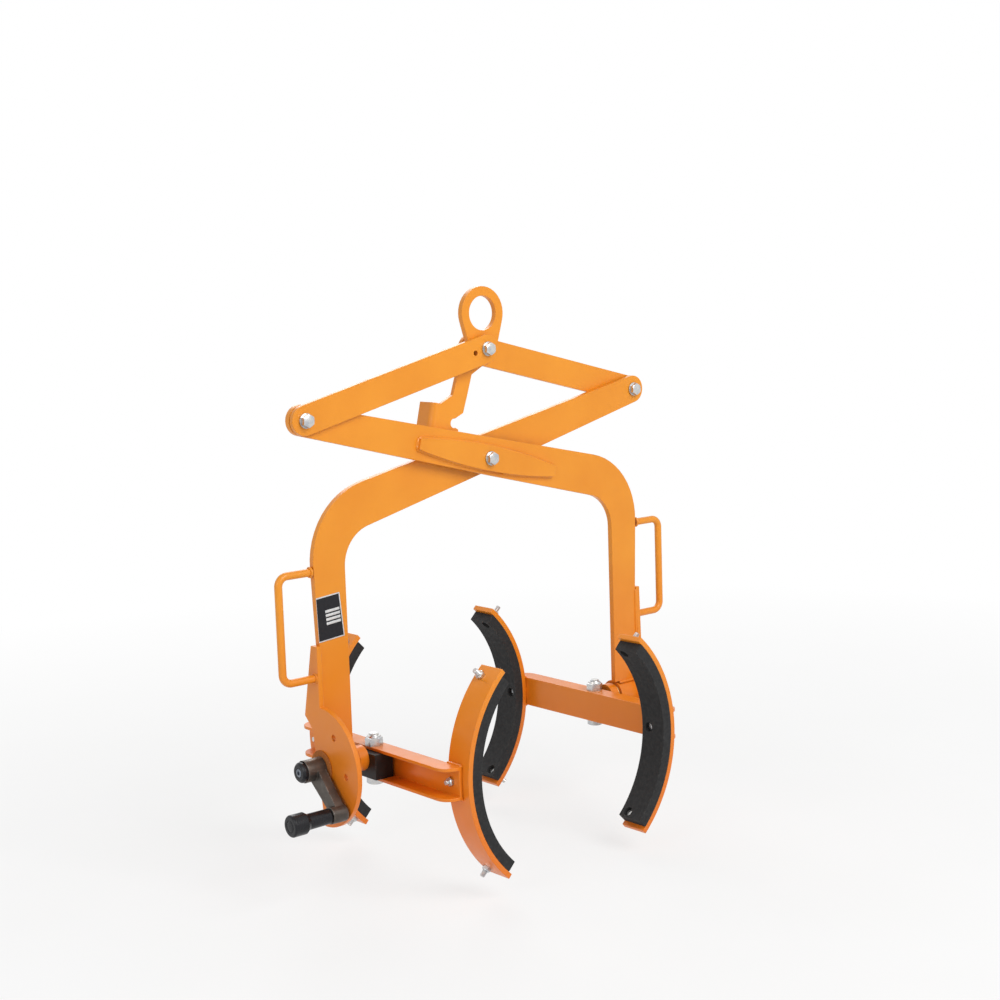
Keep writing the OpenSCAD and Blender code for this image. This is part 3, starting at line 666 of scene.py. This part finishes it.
def grip_end_plug():
    plug_r, plug_h, dome = 0.0088, 0.0014, 0.0008
    dome_profile = ((0.93, 0.55), (0.75, 0.35), (0.45, 0.10))
    plug = bar_stock(48, plug_r, 0, plug_h)
    pick_top(plug, plug_h)
    for share, rise in dome_profile:
        pull((0, 0, rise * dome), share, (0, 0, plug_h + dome))
    bpy.ops.object.mode_set(mode="OBJECT")
    plug.name = "grip_end_plug"
    outer_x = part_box("crank_grip")[0].x
    middle = node_centre("crank_grip")
    place(plug, Vector((outer_x + plug_h + dome, middle.y, middle.z)), (-1, 0, 0))
    hand_over(plug, "black_plastic", "crank_grip", "black_plastic")


grip_end_plug()


# Weld beads

def bead(path, radius):
    """A run of weld along the path, swelling and dipping with each ripple."""
    points = [path[0]]
    for start, end in zip(path, path[1:]):
        count = max(1, round((end - start).length / (BEAD_PITCH * radius)))
        points += [start.lerp(end, k / count) for k in range(1, count + 1)]
    first = points[1] - points[0]
    clear_selection()
    bpy.ops.mesh.primitive_circle_add(vertices=BEAD_SIDES, radius=BEAD_START * radius, fill_type="NGON",
                                      location=points[0], rotation=first.to_track_quat("Z", "Y").to_euler())
    run = bpy.context.object
    bpy.ops.object.transform_apply(location=True, rotation=True)
    pick_faces(run, lambda face: True)
    size = BEAD_START
    last = len(points) - 1
    for k in range(1, last + 1):
        ripple = 1.0 if k % 2 else BEAD_DIP
        target = BEAD_STOP if k == last else ripple * (1 + BEAD_WANDER * math.sin(BEAD_BEAT * k))
        pull(points[k] - points[k - 1], target / size, points[k])
        size = target
    bpy.ops.mesh.select_all(action="SELECT")
    bpy.ops.mesh.normals_make_consistent(inside=False)
    bpy.ops.object.mode_set(mode="OBJECT")
    return run


def ring_bead(middle, axis, ring_r, radius):
    ripples = 2 * max(8, round(math.pi * ring_r / (BEAD_PITCH * radius)))
    clear_selection()
    bpy.ops.mesh.primitive_torus_add(major_segments=ripples, minor_segments=BEAD_SIDES, major_radius=ring_r,
                                     minor_radius=radius, location=middle,
                                     rotation=Vector(axis).to_track_quat("Z", "Y").to_euler())
    ring = bpy.context.object
    bpy.ops.object.transform_apply(location=True, rotation=True)
    bpy.ops.object.mode_set(mode="EDIT")
    bpy.ops.mesh.select_mode(type="VERT")
    bpy.ops.mesh.select_all(action="DESELECT")
    bpy.ops.object.mode_set(mode="OBJECT")
    for vertex in ring.data.vertices:
        vertex.select = (vertex.index // BEAD_SIDES) % 2 == 0
    bpy.ops.object.mode_set(mode="EDIT")
    bpy.ops.transform.shrink_fatten(value=-RING_DIP * radius)
    bpy.ops.object.mode_set(mode="OBJECT")
    return ring


def arm_point(side, x, y, z):
    """A point of the front arm, from the centre bolt, or of the rear arm turned half round."""
    return centre + Vector((side * x, side * y, z))


def doubler_edge(u, edge):
    """A point of the doubler's upper or lower edge, with u from -1 to 1 along it."""
    half_w = DOUBLER_END + (DOUBLER_MID - DOUBLER_END) * (1 - u * u)
    x, z = u * DOUBLER_HALF, edge * half_w
    lean = math.radians(LINK_RISE)
    return x * math.cos(lean) + z * math.sin(lean), -x * math.sin(lean) + z * math.cos(lean)


def doubler_bead(side, places):
    return bead([arm_point(side, x, -ARM_OUT, z) for x, z in places], DOUBLER_BEAD)


def doubler_run(side, edge, start, end):
    steps = 12
    shares = [start + (end - start) * k / steps for k in range(steps + 1)]
    return doubler_bead(side, [doubler_edge(u, edge) for u in shares])


def arm_welds(name, body, side):
    gusset_start, tube_start, seam_sink = 0.004, 0.003, 0.0015
    gap_start, gap_end = -0.05, 0.25
    runs = [doubler_run(side, 1, -1, 1)]
    runs += [doubler_run(side, -1, -1, gap_start), doubler_run(side, -1, gap_end, 1)]
    for u in (-1, 1):
        runs.append(doubler_bead(side, [doubler_edge(u, edge) for edge in (-1, 1)]))
    rod_y = -(ARM_IN + ARM_OUT) / 2
    for drop in HANDLE_DROPS:
        rod_end = arm_point(side, HANDLE_EDGE, rod_y, -drop)
        runs.append(ring_bead(rod_end, (1, 0, 0), HANDLE_R + RING_OUT, HANDLE_BEAD))
    foot = centre_z - tilt_axis.z - TUBE_R
    for face in (ARM_IN, ARM_OUT):
        runs.append(bead([arm_point(side, LEG_EDGE, -face, -GUSSET_TOP - gusset_start),
                          arm_point(side, LEG_EDGE, -face, -foot)], SEAM_BEAD))
        runs.append(bead([arm_point(side, TUBE_IN + tube_start, -face, -foot - seam_sink),
                          arm_point(side, LEG_EDGE, -face, -foot - seam_sink)], SEAM_BEAD))
    tube_end = arm_point(side, LEG_EDGE, 0, -foot - TUBE_R)
    runs.append(ring_bead(tube_end, (1, 0, 0), TUBE_R + RING_OUT, SEAM_BEAD))
    hand_over(join(name, runs), "orange_paint", body, "orange_paint")


arm_welds("front_arm_welds", "front_arm", 1)
arm_welds("rear_arm_welds", "rear_arm", -1)


def clamp_welds(name, body, sign):
    runs = []
    for end in (-1, 1):
        for edge in (-1, 1):
            corner = Vector((sign * WEB_IN, 0, edge * CHANNEL_HALF_H))
            runs.append(bead([clamp_middle + corner + Vector((0, end * y, 0)) for y in CARRIER_Y], SEAM_BEAD))
    hand_over(join(name, runs), "orange_paint", body, "orange_paint")


clamp_welds("left_clamp_welds", "left_clamp", -1)
clamp_welds("right_clamp_welds", "right_clamp", 1)


# Blank rating plate on the left leg

def plate_bars(floor_z):
    wide, high, thick, edge = 0.026, 0.0040, 0.0002, 0.00006
    x, first_y, gap, count = 0.0085, 0.010, 0.0062, 4
    bars = []
    for k in range(count):
        bar = sheet_stock(wide, high, thick, x, first_y - k * gap, floor_z)
        round_edges(bar, edge)
        bar.data.materials.append(finishes["plate_print"])
        bars.append(bar)
    return bars


def rating_plate():
    wide, high, thick, edge = 0.050, 0.068, 0.0010, 0.0002
    border, sunk = 0.0016, 0.00015
    shift, lean = -0.0015, math.radians(5.5)
    leg_edge_x, leg_edge_slope = -0.0210, 0.035
    on_leg = Vector((-0.3035, ARM_IN, -0.2135))
    plate = sheet_stock(wide, high, thick, 0, 0, 0)
    round_edges(plate, edge)
    plate.data.materials.append(finishes["plate_face"])
    plate.data.materials.append(finishes["plate_print"])
    pick_top(plate, thick)
    bpy.ops.mesh.inset(thickness=border)
    pull((0, 0, -sunk))
    bpy.ops.object.mode_set(mode="OBJECT")
    floor_z = thick - sunk
    for face in plate.data.polygons:
        face.material_index = 0 if on_level(face, floor_z, 1) else 1
    whole = join("rating_plate", [plate, *plate_bars(floor_z)])
    settle(whole, Matrix.Translation((shift, 0, 0)) @ Matrix.Rotation(lean, 4, "Z"))
    pick_faces(whole, lambda face: True)
    bpy.ops.mesh.bisect(plane_co=(leg_edge_x, 0, 0), plane_no=(-1, -leg_edge_slope, 0),
                        clear_outer=True, use_fill=True)
    bpy.ops.object.mode_set(mode="OBJECT")
    stand = Matrix.Rotation(math.radians(90), 4, "X")
    settle(whole, Matrix.Translation(centre + on_leg) @ stand)
    hand_over(whole, "plate_face", "rear_arm", "black_paint")


rating_plate()


# Floor, light and camera

def seen_directly(tree):
    """1 for what the camera sees, also in gloss and through glass, and 0 for light on the part."""
    rays = add_node(tree, "ShaderNodeLightPath")
    seen = rays.outputs["Is Camera Ray"]
    for kind in ("Is Glossy Ray", "Is Transmission Ray"):
        either = add_node(tree, "ShaderNodeMath", operation="MAXIMUM")
        tree.links.new(seen, either.inputs[0])
        tree.links.new(rays.outputs[kind], either.inputs[1])
        seen = either.outputs["Value"]
    return seen


def pale_floor():
    finish, tree, shader = new_finish("pale_floor", Roughness=0.9)
    lay_on(tree, shader, mottle(tree, 3, (0.84, 0.84, 0.83), (0.88, 0.88, 0.88)))
    relief(tree, shader, grain(tree, 120, 3), 0.05, 0.001)
    coords = add_node(tree, "ShaderNodeTexCoord")
    reach = add_node(tree, "ShaderNodeVectorMath", operation="LENGTH")
    tree.links.new(coords.outputs["Object"], reach.inputs[0])
    far = spread(tree, reach.outputs["Value"], *FLOOR_FADE, *FLOOR_WHITE)
    white = add_node(tree, "ShaderNodeEmission", {"Color": (1, 1, 1, 1), "Strength": 1.0})
    mix = add_node(tree, "ShaderNodeMixShader")
    tree.links.new(times(tree, far, seen_directly(tree)), mix.inputs[0])
    tree.links.new(shader.outputs["BSDF"], mix.inputs[1])
    tree.links.new(white.outputs["Emission"], mix.inputs[2])
    tree.links.new(mix.outputs["Shader"], tree.nodes["Material Output"].inputs["Surface"])
    return finish


def lay_floor():
    clear_selection()
    bpy.ops.mesh.primitive_plane_add(size=FLOOR_SIZE, location=(0, 0, cad_box[0].z - FLOOR_GAP))
    floor = bpy.context.object
    floor.name = "floor"
    floor.data.materials.append(pale_floor())


def light_sky():
    world = bpy.data.worlds.new("studio")
    bpy.context.scene.world = world
    world.use_nodes = True
    tree = world.node_tree
    sky = tree.nodes["Background"]
    sky.inputs["Color"].default_value = (1, 1, 1, 1)
    strength = spread(tree, seen_directly(tree), 0, 1, SKY_LEVEL, 1.0)
    tree.links.new(strength, sky.inputs["Strength"])


def hang_lamp(name, offset, size, power):
    middle = (cad_box[0] + cad_box[1]) / 2
    spot = middle + Vector(offset)
    data = bpy.data.lights.new(name, "AREA")
    data.size = size
    data.energy = power
    lamp = bpy.data.objects.new(name, data)
    bpy.context.scene.collection.objects.link(lamp)
    lamp.location = spot
    lamp.rotation_euler = (middle - spot).to_track_quat("-Z", "Y").to_euler()


def set_camera():
    yaw, pitch, roll = CAMERA_YAW, CAMERA_PITCH, CAMERA_ROLL
    back = Vector((math.sin(yaw) * math.cos(pitch), -math.cos(yaw) * math.cos(pitch), math.sin(pitch)))
    level = Vector((math.cos(yaw), math.sin(yaw), 0))
    upright = back.cross(level)
    right = math.cos(roll) * level + math.sin(roll) * upright
    up = -math.sin(roll) * level + math.cos(roll) * upright
    data = bpy.data.cameras.new("camera")
    data.sensor_width = CAMERA_FILM
    data.lens = CAMERA_LENS
    camera = bpy.data.objects.new("camera", data)
    bpy.context.scene.collection.objects.link(camera)
    turn = Matrix((right, up, back)).transposed().to_4x4()
    camera.matrix_world = Matrix.Translation(CAMERA_PLACE) @ turn
    bpy.context.scene.camera = camera


lay_floor()
light_sky()
for lamp_name, lamp_offset, lamp_size, lamp_power in LAMPS:
    hang_lamp(lamp_name, lamp_offset, lamp_size, lamp_power)
set_camera()
bpy.context.scene.view_settings.view_transform = "Standard"
